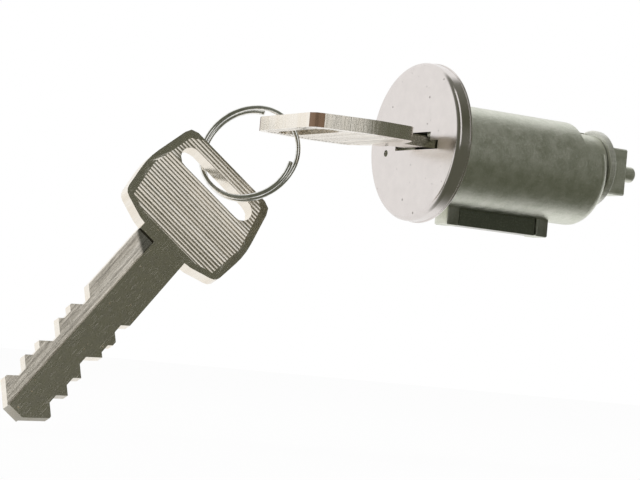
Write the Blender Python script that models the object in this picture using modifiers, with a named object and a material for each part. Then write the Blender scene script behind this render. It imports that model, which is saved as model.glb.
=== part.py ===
"""Ignition lock cylinder with its key in the lock, a split ring and a spare key.

The lock's axis runs along +Y, from the face back to the tang. +Z is up, and the
origin is on the axis, at the back of the face cap. All lengths are in metres.
"""

import math

import bmesh
import bpy
from mathutils import Matrix, Vector

# Clearances
FIT = 0.00012
SLIDE = 0.00015
SEAT = 0.0003

# Face cap and rotor head
CAP_RADIUS = 0.0130
CAP_DEPTH = 0.00262
CAP_SHEET = 0.00045
CAP_BAND_STEP = 0.00012
CAP_LIP = 0.0004
CAP_LIP_REACH = 0.0011
CAP_EDGE_ROUND = 0.0009
SLOT_HALF_WIDTH = 0.0050
SLOT_HALF_HEIGHT = 0.00140
SLOT_END_REACH = 0.0073
SLOT_END_DEPTH = 0.0012
PINHOLE_RADIUS = 0.00055
PINHOLE_REACH = 0.00794
PINHOLE_ANGLE = math.radians(192.6)

# Rotor
ROTOR_RADIUS = 0.0056
KEY_END_ROOM = 0.0003
WAFER_FIRST = 0.0032
WAFER_PITCH = 0.0021
WAFER_COUNT = 10
WAFER_THICKNESS = 0.0011
WAFER_HALF_HEIGHT = 0.0034
WINDOW_HALF_WIDTH = 0.00465
EAR_LENGTH = 0.0010
EAR_REACH = 0.00115
EAR_START = 0.0017
POCKET_HALF_LENGTH = 0.0023
WAFER_SPRING_RADIUS = 0.00036
WAFER_SPRING_WIRE = 0.00017
WAFER_SPRING_TURNS = 4
LUG_RADIUS = 0.00626
LUG_ANGLE = math.radians(120)
LUG_HALF_ANGLE = math.radians(16)
CLIP_RADIUS = 0.0065
CLIP_THICKNESS = 0.0012
CLIP_STANDOFF = 0.0005
CLIP_GROOVE_RADIUS = 0.0046
CLIP_MOUTH = math.radians(64)
TANG_HALF_WIDTH = 0.0024
TANG_HALF_HEIGHT = 0.00395
TANG_LENGTH = 0.0053
TANG_EDGE = 0.00025
PIN_RADIUS = 0.00135
PIN_LENGTH = 0.0029
PIN_ROUND = 0.0004

# Housing
HOUSING_TOP_WALL = 0.00136
HOUSING_DROP = 0.00146
HOUSING_REAR_WALL = 0.0002
SHOULDER_LENGTH = 0.0024
SHOULDER_DROP = 0.0029
COLLAR_WALL = 0.0004
COLLAR_LENGTH = 0.0006
COLLAR_EDGE = 0.00012
FRONT_CHAMFER = 0.0003
NOTCH_LENGTH = 0.0058
NOTCH_RIGHT = math.radians(14)
NOTCH_LEFT = math.radians(216)
CHANNEL_DEPTH = 0.0009
CHANNEL_MOUTH = 0.0050
CHANNEL_FLAT = 0.0022
RAIL_HALF_WIDTH = 0.0019
RAIL_DROP = 0.01275
FRONT_LUG = 0.00415
LUG_LENGTH = 0.0024
RAIL_EDGE = 0.0003

# Retainer bar
BAR_FRONT = 0.0067
BAR_LENGTH = 0.01525
BAR_HALF_WIDTH = 0.0016
BAR_BOTTOM = -0.01265
BAR_TOP = -0.00755
BAR_TRAVEL = 0.00135
BAR_EAR = 0.0012
BAR_EAR_HEIGHT = 0.00115
BAR_BORE_RADIUS = 0.00075
BAR_BORE_DEPTH = 0.0026
BAR_SPRING_RADIUS = 0.00047
BAR_SPRING_WIRE = 0.0002
BAR_SPRING_TURNS = 6
BAR_SPRING_INSET = 0.0035

# Key, along u from the shoulder to the tip, v across, w through the thickness
KEY_THICKNESS = 0.00224
BLADE_LENGTH = 0.0391
BLADE_HALF_WIDTH = 0.00439
BLADE_TIP_HALF = 0.00133
BOW_END = 0.01955
BOW_END_HALF = 0.00757
BOW_CORNER_HALF = 0.00926
BOW_CORNER = 0.0178
BOW_WIDEST_HALF = 0.01084
BOW_WIDEST = 0.00925
BOW_NECK_HALF = 0.00997
BOW_NECK = 0.0018
SLOT_CENTRE = 0.01507
SLOT_HALF_SPAN = 0.00556
SLOT_RADIUS = 0.00195
GROOVE_EDGE = 0.00135
GROOVE_DEPTH = 0.0006
GROOVE_START = 0.0012
CUT_LAST_TO_TIP = 0.0057
CUT_PITCH = 0.0041
CUT_FLAT = 0.0016
CUTS_RIGHT = (0.0011, 0.0006, 0.0019, 0.0013, 0.0015)
CUTS_LEFT = (0.0015, 0.0007, 0.0018, 0.0009, 0.0014)
SERRATION_PITCH = 0.00064
SERRATION_DEPTH = 0.00014
SERRATION_RIM = 0.0013
KEY_STANDOFF = 0.00454

# Split ring
RING_RADIUS = 0.00797
RING_WIRE = 0.0008
RING_PITCH = 0.00092
RING_SWING_Y = -0.0238
RING_SWING_Z = 0.0005
RING_START = 85
RING_SWEEP = 625
RING_END_INSET = 0.00045
RING_END_SPAN = 50
RING_CENTRE = Vector((-0.00850, -0.02768, -0.00487))
RING_NORMAL = Vector((0.5913, -0.7281, 0.3469))

# Spare key, the middle of its shoulder and its own directions
SPARE_SHOULDER = Vector((-0.00511, -0.04294, -0.02086))
SPARE_BLADE = Vector((0.2551, -0.6743, -0.6930))
SPARE_FACE = Vector((0.9391, 0.0019, 0.3437))

FACE = -CAP_DEPTH
HOUSING_FRONT = SLIDE
KEYWAY_END = FACE - KEY_STANDOFF + BLADE_LENGTH + KEY_END_ROOM
HOUSING_LENGTH = KEYWAY_END + HOUSING_REAR_WALL
NOTCH_START = HOUSING_LENGTH - NOTCH_LENGTH
CUT_FIRST = BLADE_LENGTH - CUT_LAST_TO_TIP - CUT_PITCH * (len(CUTS_LEFT) - 1)
CLIP_FRONT = HOUSING_LENGTH + CLIP_STANDOFF
TANG_START = CLIP_FRONT + CLIP_THICKNESS + FIT
BORE_RADIUS = ROTOR_RADIUS + FIT
COLLAR_RADIUS = BORE_RADIUS + COLLAR_WALL
SHOULDER_END = HOUSING_LENGTH - COLLAR_LENGTH
HOUSING_RADIUS = BORE_RADIUS + HOUSING_TOP_WALL + HOUSING_DROP
HEAD_RADIUS = CAP_RADIUS - CAP_BAND_STEP - CAP_SHEET - FIT
HEAD_BACK = -CAP_LIP - FIT
WAFER_SLOT = WAFER_THICKNESS + 2 * SLIDE
WAFER_REACH = ROTOR_RADIUS - SLIDE
POCKET_TOP = BAR_TOP + BAR_TRAVEL + FIT
ROUND_SIDES = 64
SMALL_SIDES = 20

TO_AXIS = Matrix.Rotation(math.radians(-90), 4, "X")
TO_SECTION = Matrix.Rotation(math.radians(90), 4, "X")


def clear_scene():
    for obj in list(bpy.data.objects):
        bpy.data.objects.remove(obj, do_unlink=True)


def new_collection(name):
    collection = bpy.data.collections.new(name)
    bpy.context.scene.collection.children.link(collection)
    return collection


def make_material(name, color, roughness, metallic=1.0):
    material = bpy.data.materials.new(name)
    material.use_nodes = True
    shader = material.node_tree.nodes["Principled BSDF"]
    shader.inputs["Base Color"].default_value = (*color, 1.0)
    shader.inputs["Roughness"].default_value = roughness
    shader.inputs["Metallic"].default_value = metallic
    return material


def add_object(name, mesh, place=None):
    obj = bpy.data.objects.new(name, mesh)
    cutters.objects.link(obj)
    obj.hide_render = True
    obj.display_type = "WIRE"
    if place is not None:
        obj.matrix_world = place
    return obj


def bake(obj):
    """Replace an object by the plain mesh that its curve or modifiers make."""
    bpy.context.view_layer.update()
    graph = bpy.context.evaluated_depsgraph_get()
    mesh = bpy.data.meshes.new_from_object(obj.evaluated_get(graph))
    work = bmesh.new()
    work.from_mesh(mesh)
    bmesh.ops.remove_doubles(work, verts=work.verts, dist=1e-7)
    bmesh.ops.recalc_face_normals(work, faces=work.faces)
    work.to_mesh(mesh)
    work.free()
    baked = add_object(obj.name + "_solid", mesh, obj.matrix_world.copy())
    bpy.data.objects.remove(obj, do_unlink=True)
    return baked


def block(name, low, high):
    low, high = Vector(low), Vector(high)
    mesh = bpy.data.meshes.new(name)
    work = bmesh.new()
    size = Matrix.Diagonal((*(high - low), 1.0))
    bmesh.ops.create_cube(work, size=1.0, matrix=Matrix.Translation((low + high) / 2) @ size)
    work.to_mesh(mesh)
    work.free()
    return add_object(name, mesh)


def rod(name, radius, start, end, sides=SMALL_SIDES):
    start, end = Vector(start), Vector(end)
    turn = (end - start).to_track_quat("Z", "Y").to_matrix().to_4x4()
    mesh = bpy.data.meshes.new(name)
    work = bmesh.new()
    bmesh.ops.create_cone(
        work, cap_ends=True, segments=sides, radius1=radius, radius2=radius,
        depth=(end - start).length, matrix=Matrix.Translation((start + end) / 2) @ turn,
    )
    work.to_mesh(mesh)
    work.free()
    return add_object(name, mesh)


def area_of(points):
    ahead = points[1:] + points[:1]
    return sum(a[0] * b[1] - b[0] * a[1] for a, b in zip(points, ahead)) / 2


def turned(name, profile, drop=0.0, sides=ROUND_SIDES):
    """Turn a profile of (radius, y) points about the lock's axis."""
    points = list(profile) if area_of(list(profile)) < 0 else list(profile)[::-1]
    on_axis = min(point[0] for point in points) < 1e-9
    if on_axis:
        first = next(i for i in range(len(points)) if points[i][0] < 1e-9 and points[i - 1][0] < 1e-9)
        points = points[first:] + points[:first]
    mesh = bpy.data.meshes.new(name)
    work = bmesh.new()
    verts = [work.verts.new((radius, 0.0, along)) for radius, along in points]
    for a, b in zip(verts, verts[1:]):
        work.edges.new((a, b))
    if not on_axis:
        work.edges.new((verts[-1], verts[0]))
    work.to_mesh(mesh)
    work.free()
    obj = add_object(name, mesh, Matrix.Translation((0, 0, -drop)) @ TO_AXIS)
    screw = obj.modifiers.new("turn", "SCREW")
    screw.axis = "Z"
    screw.steps = sides
    screw.render_steps = sides
    screw.use_merge_vertices = True
    screw.merge_threshold = 1e-6
    return bake(obj)


def flat_solid(name, outline, thickness, place):
    """Extrude a flat outline, centred on its own plane."""
    mesh = bpy.data.meshes.new(name)
    work = bmesh.new()
    low = [work.verts.new((x, y, -thickness / 2)) for x, y in outline]
    high = [work.verts.new((x, y, thickness / 2)) for x, y in outline]
    work.faces.new(low)
    work.faces.new(high)
    for i in range(len(outline)):
        work.faces.new((low[i - 1], low[i], high[i], high[i - 1]))
    bmesh.ops.recalc_face_normals(work, faces=work.faces)
    work.to_mesh(mesh)
    work.free()
    return add_object(name, mesh, place)


def coil(name, radius, wire, turns, length, place, steps=9):
    """A wound spring along its own +Z, from 0 to its length, its ends included."""
    curve = bpy.data.curves.new(name, "CURVE")
    curve.dimensions = "3D"
    curve.bevel_depth = wire / 2
    curve.bevel_resolution = 0
    curve.use_fill_caps = True
    spline = curve.splines.new("POLY")
    count = turns * steps
    spline.points.add(count)
    for i, point in enumerate(spline.points):
        angle = 2 * math.pi * i / steps
        rise = wire / 2 + (length - wire) * i / count
        point.co = (radius * math.cos(angle), radius * math.sin(angle), rise, 1.0)
    return bake(add_object(name, curve, place))


def arc(centre, radius, start, end, steps):
    return [
        (
            centre[0] + radius * math.cos(start + (end - start) * i / steps),
            centre[1] + radius * math.sin(start + (end - start) * i / steps),
        )
        for i in range(steps + 1)
    ]


def combine(obj, other, operation):
    modifier = obj.modifiers.new(operation.lower(), "BOOLEAN")
    modifier.operation = operation
    modifier.solver = "EXACT"
    modifier.object = other
    return obj


def cut(obj, *others):
    for other in others:
        combine(obj, other, "DIFFERENCE")
    return obj


def join(obj, *others):
    for other in others:
        combine(obj, other, "UNION")
    return obj


def bevel(obj, width, segments=1, limit=40):
    modifier = obj.modifiers.new("bevel", "BEVEL")
    modifier.width = width
    modifier.segments = segments
    modifier.limit_method = "ANGLE"
    modifier.angle_limit = math.radians(limit)
    return obj


def finish(obj, name, material, parent=None):
    """Move a solid from the helpers to the part, as the named piece."""
    cutters.objects.unlink(obj)
    part.objects.link(obj)
    obj.name = name
    obj.hide_render = False
    obj.display_type = "TEXTURED"
    obj.data.materials.clear()
    obj.data.materials.append(material)
    obj.data.shade_smooth()
    obj.data.set_sharp_from_angle(angle=math.radians(35))
    if parent is not None:
        obj.parent = parent
        obj.matrix_parent_inverse = parent.matrix_world.inverted()
    return obj


def pivot(name, position):
    empty = bpy.data.objects.new(name, None)
    empty.location = position
    empty.empty_display_size = 0.004
    part.objects.link(empty)
    bpy.context.view_layer.update()
    return empty


def section_place(y):
    """Set an outline drawn in X and Z at a place along the axis."""
    return Matrix.Translation((0, y, 0)) @ TO_SECTION


def pinhole_tool(radius, start, end):
    x = PINHOLE_REACH * math.cos(PINHOLE_ANGLE)
    z = PINHOLE_REACH * math.sin(PINHOLE_ANGLE)
    return rod("pinhole", radius, (x, start, z), (x, end, z))


def make_face_cap(material, parent):
    band = CAP_RADIUS - CAP_BAND_STEP
    inner = band - CAP_SHEET
    corner = (band - CAP_EDGE_ROUND, FACE + CAP_EDGE_ROUND)
    outside = arc(corner, CAP_EDGE_ROUND, math.radians(-90), 0, 6)
    inner_round = CAP_EDGE_ROUND - CAP_SHEET
    inside = arc(corner, inner_round, 0, math.radians(-90), 4)
    lip_front = -CAP_LIP
    profile = [(0.0, FACE), *outside]
    profile += [(band, lip_front - CAP_BAND_STEP), (CAP_RADIUS, lip_front)]
    profile += [(CAP_RADIUS, -CAP_LIP / 4), (CAP_RADIUS - CAP_LIP / 4, 0.0)]
    profile += [(CAP_RADIUS - CAP_LIP_REACH, 0.0), (CAP_RADIUS - CAP_LIP_REACH, lip_front)]
    profile += [(inner, lip_front), *inside, (0.0, FACE + CAP_SHEET)]
    cap = turned("face_cap", profile)
    slot = flat_solid("cap_slot", slot_outline(), 0.004, section_place(FACE))
    cut(cap, slot, pinhole_tool(PINHOLE_RADIUS, FACE - 0.001, FACE + 0.001))
    return finish(cap, "face_cap", material, parent)


def slot_outline():
    """The key slot in the face, with a notch at each end."""
    wide, high, reach = SLOT_HALF_WIDTH, SLOT_HALF_HEIGHT, SLOT_END_REACH
    return [
        (-wide, -high), (reach, -high), (reach, 0.0), (wide, 0.0),
        (wide, high), (-reach, high), (-reach, 0.0), (-wide, 0.0),
    ]


def keyway_outline(clearance):
    """The keyway's section, a rectangle with a ward on each side for the blade's grooves."""
    wide = BLADE_HALF_WIDTH + clearance
    high = KEY_THICKNESS / 2 + clearance
    ward = GROOVE_EDGE + clearance
    low = high - GROOVE_DEPTH
    return [
        (-wide, -low), (-ward, -low), (-ward, -high), (wide, -high),
        (wide, low), (ward, low), (ward, high), (-wide, high),
    ]


def wafer_positions():
    return [WAFER_FIRST + WAFER_PITCH * i for i in range(WAFER_COUNT)]


def make_rotor(material, parent):
    head_front = FACE + CAP_SHEET + FIT
    profile = [
        (0.0, head_front), (HEAD_RADIUS - CAP_EDGE_ROUND, head_front),
        (HEAD_RADIUS, head_front + CAP_EDGE_ROUND), (HEAD_RADIUS, HEAD_BACK),
        (ROTOR_RADIUS, HEAD_BACK), (ROTOR_RADIUS, CLIP_FRONT - FIT),
        (CLIP_GROOVE_RADIUS, CLIP_FRONT - FIT), (CLIP_GROOVE_RADIUS, TANG_START),
        (0.0, TANG_START),
    ]
    rotor = turned("rotor", profile)
    tang_end = TANG_START + TANG_LENGTH
    tang = block(
        "tang", (-TANG_HALF_WIDTH, TANG_START - 0.001, -TANG_HALF_HEIGHT),
        (TANG_HALF_WIDTH, tang_end, TANG_HALF_HEIGHT),
    )
    tang = bake(bevel(tang, TANG_EDGE))
    pin_end = tang_end + PIN_LENGTH
    pin = turned(
        "pin",
        [(0.0, tang_end - 0.001), (PIN_RADIUS, tang_end - 0.001),
         *arc((PIN_RADIUS - PIN_ROUND, pin_end - PIN_ROUND), PIN_ROUND, 0, math.radians(90), 3),
         (0.0, pin_end)],
        sides=24,
    )
    lug = stop_lug()
    keyway = flat_solid(
        "keyway", keyway_outline(2 * SLIDE), KEYWAY_END - FACE,
        section_place((KEYWAY_END + FACE) / 2),
    )
    recess_back = FACE + CAP_SHEET + SLOT_END_DEPTH
    recess = flat_solid("recess", slot_outline(), 2 * (recess_back - FACE), section_place(FACE))
    join(rotor, tang, pin, lug)
    cut(rotor, keyway, recess, wafer_slots(), pinhole_tool(PINHOLE_RADIUS + FIT, FACE, HEAD_BACK + 0.001))
    return finish(rotor, "rotor", material, parent)


def stop_lug():
    """The stop on the rotor's rear edge, which runs in the housing's notch."""
    left, right = LUG_ANGLE + LUG_HALF_ANGLE, LUG_ANGLE - LUG_HALF_ANGLE
    outline = arc((0, 0), LUG_RADIUS, right, left, 8)
    outline += arc((0, 0), ROTOR_RADIUS - 0.0006, left, right, 4)
    front = NOTCH_START + SEAT
    back = CLIP_FRONT - FIT
    return flat_solid("stop_lug", outline, back - front, section_place((front + back) / 2))


def wafer_slots():
    """One cutter for all the slots, each with the pocket of its spring."""
    slots = None
    for i, y in enumerate(wafer_positions()):
        side = 1 if i % 2 == 0 else -1
        high = WAFER_HALF_HEIGHT + SLIDE
        reach = POCKET_HALF_LENGTH
        top = WAFER_HALF_HEIGHT + EAR_REACH + SLIDE
        wide = ROTOR_RADIUS + 0.001
        outline = [
            (-wide, -high), (wide, -high), (wide, high), (reach, high),
            (reach, top), (-reach, top), (-reach, high), (-wide, high),
        ]
        outline = [(side * x, side * z) for x, z in outline]
        slot = flat_solid("wafer_slot", outline, WAFER_SLOT, section_place(y))
        slots = slot if slots is None else join(slots, slot)
    return slots


def make_wafers(brass, steel, parent):
    """Flat wafers with a window for the blade and an ear for the spring, turned about in pairs."""
    straight = math.sqrt(WAFER_REACH ** 2 - WAFER_HALF_HEIGHT ** 2)
    bow_angle = math.asin(WAFER_HALF_HEIGHT / WAFER_REACH)
    ear_low = WAFER_HALF_HEIGHT
    ear_high = WAFER_HALF_HEIGHT + EAR_REACH
    outline = arc((0, 0), WAFER_REACH, -bow_angle, bow_angle, 8)
    outline += [(-EAR_START + EAR_LENGTH, ear_low), (-EAR_START + EAR_LENGTH, ear_high)]
    outline += [(-EAR_START, ear_high), (-EAR_START, ear_low), (-straight, ear_low)]
    outline += arc((0, 0), WAFER_REACH, math.pi - bow_angle, math.pi + bow_angle, 8)[1:]
    wafer = flat_solid("wafer", outline, WAFER_THICKNESS, Matrix())
    wide, high = WINDOW_HALF_WIDTH, KEY_THICKNESS / 2 + 2 * SLIDE
    wafer = bake(cut(wafer, block("window", (-wide, -high, -WAFER_PITCH), (wide, high, WAFER_PITCH))))
    spring_start = -EAR_START + EAR_LENGTH + SLIDE
    spring_length = POCKET_HALF_LENGTH - SLIDE - spring_start
    spring = coil("wafer_spring", WAFER_SPRING_RADIUS, WAFER_SPRING_WIRE, WAFER_SPRING_TURNS,
                  spring_length, Matrix(), steps=7)
    middle = WAFER_HALF_HEIGHT + SLIDE + WAFER_SPRING_RADIUS + WAFER_SPRING_WIRE / 2
    along = Matrix.Rotation(math.radians(90), 4, "Y")
    for i, y in enumerate(wafer_positions()):
        turn = Matrix.Rotation(0 if i % 2 == 0 else math.pi, 4, "Y")
        place = Matrix.Translation((0, y, 0)) @ turn
        leaf = add_object("wafer", wafer.data, place @ TO_SECTION)
        finish(leaf, f"wafer_{i + 1:02d}", brass, parent)
        seat = Matrix.Translation((spring_start, 0, middle))
        wound = add_object("spring", spring.data, place @ seat @ along)
        finish(wound, f"wafer_spring_{i + 1:02d}", steel, parent)


def make_clip(material, parent):
    """The open ring that holds the rotor in, sprung into the groove behind the housing."""
    inner = CLIP_GROOVE_RADIUS + FIT
    half = CLIP_MOUTH / 2
    start, end = math.pi + half, 3 * math.pi - half
    outline = arc((0, 0), CLIP_RADIUS, start, end, 40)
    outline += arc((0, 0), inner, end, start, 32)
    middle = CLIP_FRONT + CLIP_THICKNESS / 2
    clip = flat_solid("clip", outline, CLIP_THICKNESS, section_place(middle))
    bevel(clip, 0.0002, limit=60)
    return finish(bake(clip), "retaining_clip", material, parent)


def make_housing(material):
    body = HOUSING_RADIUS
    shoulder = [
        (body - SHOULDER_DROP * (1 - math.cos(t)), SHOULDER_END - SHOULDER_LENGTH * (1 - math.sin(t)))
        for t in (math.radians(90) * i / 6 for i in range(7))
    ]
    front = HOUSING_FRONT
    profile = [(0.0, front), (body - FRONT_CHAMFER, front), (body, front + FRONT_CHAMFER)]
    profile += [*shoulder, (0.0, SHOULDER_END)]
    housing = turned("housing", profile, HOUSING_DROP)
    collar = [
        (0.0, NOTCH_START), (COLLAR_RADIUS, NOTCH_START), (COLLAR_RADIUS, HOUSING_LENGTH - COLLAR_EDGE),
        (COLLAR_RADIUS - COLLAR_EDGE, HOUSING_LENGTH), (0.0, HOUSING_LENGTH),
    ]
    join(housing, turned("collar", collar))
    for front in (FRONT_LUG, BAR_FRONT + BAR_LENGTH + SLIDE):
        lug = block(
            "rail_lug", (-RAIL_HALF_WIDTH, front, -RAIL_DROP),
            (RAIL_HALF_WIDTH, front + LUG_LENGTH, -BORE_RADIUS - 0.002),
        )
        join(housing, bake(bevel(lug, RAIL_EDGE, 2)))
    bore = rod("bore", BORE_RADIUS, (0, -0.001, 0), (0, HOUSING_LENGTH + 0.001, 0), ROUND_SIDES)
    cut(housing, bore, wafer_channels(), rear_notch(), *bar_pocket())
    return finish(housing, "housing", material)


def wafer_channels():
    """The two long channels at the sides of the bore, where wafers stand out when locked."""
    first = WAFER_FIRST - WAFER_THICKNESS
    last = WAFER_FIRST + WAFER_PITCH * (WAFER_COUNT - 1) + WAFER_THICKNESS
    wide, flat, mouth = BORE_RADIUS + CHANNEL_DEPTH, CHANNEL_FLAT, CHANNEL_MOUTH
    high = WAFER_HALF_HEIGHT + SLIDE
    outline = [
        (wide, -flat), (wide, flat), (mouth, high), (-mouth, high),
        (-wide, flat), (-wide, -flat), (-mouth, -high), (mouth, -high),
    ]
    return flat_solid("channels", outline, last - first, section_place((first + last) / 2))


def rear_notch():
    """The cut-away of the housing's rear edge, whose ends stop the rotor's lug."""
    outline = [(0.0, 0.0), *arc((0, 0), 2 * HOUSING_RADIUS, NOTCH_RIGHT, NOTCH_LEFT, 12)]
    end = HOUSING_LENGTH + 0.001
    return flat_solid("notch", outline, end - NOTCH_START, section_place((end + NOTCH_START) / 2))


def bar_pocket():
    """The slot that the retainer bar slides in, wider above its ledges, and the hole for the release wire."""
    side = BAR_HALF_WIDTH + FIT
    rear = BAR_FRONT + BAR_LENGTH
    ledge = BAR_TOP - BAR_EAR_HEIGHT - FIT
    upper = block(
        "pocket", (-side, BAR_FRONT - BAR_EAR - SLIDE, ledge), (side, rear + BAR_EAR + SLIDE, POCKET_TOP)
    )
    lower = block(
        "bar_slot", (-side, BAR_FRONT - SLIDE, -RAIL_DROP - 0.001), (side, rear + SLIDE, ledge + 0.0001)
    )
    release = rod(
        "release", PINHOLE_RADIUS, (0, -0.001, -PINHOLE_REACH), (0, BAR_FRONT - BAR_EAR, -PINHOLE_REACH)
    )
    return upper, lower, release


def bar_spring_places():
    return (BAR_FRONT + BAR_SPRING_INSET, BAR_FRONT + BAR_LENGTH - BAR_SPRING_INSET)


def make_retainer_bar(steel, spring_steel):
    """The sprung bar, seen from its side, with a ramp at the front that the release wire lifts."""
    rear = BAR_FRONT + BAR_LENGTH
    ear_low = BAR_TOP - BAR_EAR_HEIGHT
    outline = [
        (BAR_FRONT, BAR_BOTTOM), (rear, BAR_BOTTOM), (rear, ear_low),
        (rear + BAR_EAR, ear_low), (rear + BAR_EAR, BAR_TOP),
        (BAR_FRONT - BAR_EAR, BAR_TOP), (BAR_FRONT - BAR_EAR, BAR_TOP - 0.0001),
        (BAR_FRONT - BAR_EAR / 2, ear_low), (BAR_FRONT, ear_low),
    ]
    upright = Matrix(((0, 0, 1, 0), (1, 0, 0, 0), (0, 1, 0, 0), (0, 0, 0, 1)))
    bar = flat_solid("bar", outline, 2 * BAR_HALF_WIDTH, upright)
    floor = BAR_TOP - BAR_BORE_DEPTH
    for y in bar_spring_places():
        cut(bar, rod("spring_bore", BAR_BORE_RADIUS, (0, y, floor), (0, y, BAR_TOP + 0.001), 16))
    finish(bar, "retainer_bar", steel)
    start = floor + FIT
    length = POCKET_TOP - FIT - start
    for i, y in enumerate(bar_spring_places()):
        place = Matrix.Translation((0, y, start))
        spring = coil("bar_spring", BAR_SPRING_RADIUS, BAR_SPRING_WIRE, BAR_SPRING_TURNS, length, place)
        finish(spring, f"bar_spring_{i + 1}", spring_steel)


def blade_edge(side, cuts):
    """One edge of the blade from the shoulder to the tip's corner, with its flat-bottomed cuts."""
    points = []
    for i, depth in enumerate(cuts):
        centre = CUT_FIRST + CUT_PITCH * i
        for u, drop in (
            (centre - CUT_FLAT / 2 - depth, 0.0), (centre - CUT_FLAT / 2, depth),
            (centre + CUT_FLAT / 2, depth), (centre + CUT_FLAT / 2 + depth, 0.0),
        ):
            points.append((u, drop))
    merged = [points[0]]
    for i in range(1, len(points)):
        if points[i][1] == 0.0 and i + 1 < len(points) and points[i + 1][1] == 0.0:
            low, high = points[i + 1][0], points[i][0]
            if high > low:
                merged.append(((low + high) / 2, (high - low) / 2))
            else:
                merged += [points[i], points[i + 1]]
        elif not (points[i][1] == 0.0 and points[i - 1][1] == 0.0):
            merged.append(points[i])
    return [(u, side * (BLADE_HALF_WIDTH - drop)) for u, drop in merged]


def key_outline():
    """The key's outline: bow, shoulders, cut blade and pointed tip."""
    tip_start = BLADE_LENGTH - (BLADE_HALF_WIDTH - BLADE_TIP_HALF)
    right = [(0.0, BLADE_HALF_WIDTH), *blade_edge(1, CUTS_RIGHT)]
    right += [(tip_start, BLADE_HALF_WIDTH), (BLADE_LENGTH, BLADE_TIP_HALF)]
    left = [(0.0, -BLADE_HALF_WIDTH), *blade_edge(-1, CUTS_LEFT)]
    left += [(tip_start, -BLADE_HALF_WIDTH), (BLADE_LENGTH, -BLADE_TIP_HALF)]
    return [*bow_side(-1)[::-1], *left, *right[::-1], *bow_side(1)]


def bow_side(side):
    """One side of the bow, from the shoulder round to the end edge."""
    neck = Vector((-BOW_NECK, BOW_NECK_HALF))
    widest = Vector((-BOW_WIDEST, BOW_WIDEST_HALF))
    shoulder = Vector((-0.0002, BLADE_HALF_WIDTH + 0.0012))
    corner = Vector((-BOW_CORNER, BOW_CORNER_HALF))
    end = Vector((-BOW_END, BOW_END_HALF))
    points = [shoulder, *bend(shoulder, neck, widest, 0.0011), *bend(neck, widest, corner, 0.0025)]
    middle = (corner + end) / 2 + Vector((-0.00035, 0.00035))
    points += [corner, middle, end]
    return [(point[0], side * point[1]) for point in points]


def bend(before, here, after, reach, steps=3):
    """A corner softened by a curve that leaves and meets its sides this far from it."""
    start = here + (before - here).normalized() * reach
    finish_at = here + (after - here).normalized() * reach
    curve = []
    for k in range(steps + 1):
        t = k / steps
        curve.append((1 - t) ** 2 * start + 2 * t * (1 - t) * here + t ** 2 * finish_at)
    return curve


def ring_slot():
    """The oblong hole near the end of the bow."""
    right = arc((-SLOT_CENTRE, SLOT_HALF_SPAN), SLOT_RADIUS, 0, math.pi, 8)
    left = arc((-SLOT_CENTRE, -SLOT_HALF_SPAN), SLOT_RADIUS, math.pi, 2 * math.pi, 8)
    return right + left


def serrated_field():
    """The area of the bow's faces that the serrations fill, inside a plain rim."""
    rim = SERRATION_RIM
    side = [
        (-0.0014, BLADE_HALF_WIDTH + rim), (-BOW_NECK - rim / 2, BOW_NECK_HALF - rim),
        (-BOW_WIDEST, BOW_WIDEST_HALF - rim), (-BOW_CORNER, BOW_CORNER_HALF - rim),
        (-BOW_END + rim / 4, BOW_END_HALF - rim),
    ]
    return [*side, *[(u, -v) for u, v in side[::-1]]]


def serration_tool(side):
    """A row of V grooves across the bow, kept inside its plain rim."""
    field = serrated_field()
    top = KEY_THICKNESS / 2
    start = min(u for u, v in field) - 0.3 * SERRATION_PITCH
    count = math.ceil((max(u for u, v in field) - start) / SERRATION_PITCH)
    profile = [(start, top + 0.0005)]
    for i in range(count):
        u = start + SERRATION_PITCH * i
        profile += [(u, top + 0.00002), (u + SERRATION_PITCH / 2, top - SERRATION_DEPTH)]
    end = start + SERRATION_PITCH * count
    profile += [(end, top + 0.00002), (end, top + 0.0005)]
    comb = flat_solid("comb", profile, 3 * BOW_WIDEST_HALF, Matrix.Rotation(side * math.radians(90), 4, "X"))
    area = flat_solid("serrated_area", field, 0.004, Matrix())
    return combine(comb, area, "INTERSECT")


def groove_tool(side):
    """The wide shallow groove milled in one half of the blade's face."""
    high = KEY_THICKNESS / 2
    low = (GROOVE_START, -BLADE_HALF_WIDTH - 0.001, high - GROOVE_DEPTH)
    top = (BLADE_LENGTH + 0.001, -GROOVE_EDGE, high + 0.001)
    tool = block("groove", low, top)
    tool.matrix_world = Matrix.Rotation(math.pi if side < 0 else 0, 4, "X")
    return tool


def make_key(name, material, place, parent=None):
    key = flat_solid("key", key_outline(), KEY_THICKNESS, Matrix())
    slot = flat_solid("slot", ring_slot(), 2 * KEY_THICKNESS, Matrix())
    cut(key, slot, groove_tool(1), groove_tool(-1), serration_tool(1), serration_tool(-1))
    key = bake(key)
    key.matrix_world = place
    return finish(key, name, material, parent)


def inserted_place():
    """The key's shoulder stands off the face, with its blade along the axis."""
    columns = (Vector((0, 1, 0)), Vector((1, 0, 0)), Vector((0, 0, -1)))
    return frame_matrix(columns, Vector((0, FACE - KEY_STANDOFF, 0)))


def spare_place():
    blade = SPARE_BLADE.normalized()
    face = (SPARE_FACE - SPARE_FACE.dot(blade) * blade).normalized()
    return frame_matrix((blade, face.cross(blade), face), SPARE_SHOULDER - face * KEY_THICKNESS / 2)


def frame_matrix(columns, origin):
    matrix = Matrix(columns).transposed().to_4x4()
    matrix.translation = origin
    return matrix


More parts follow.
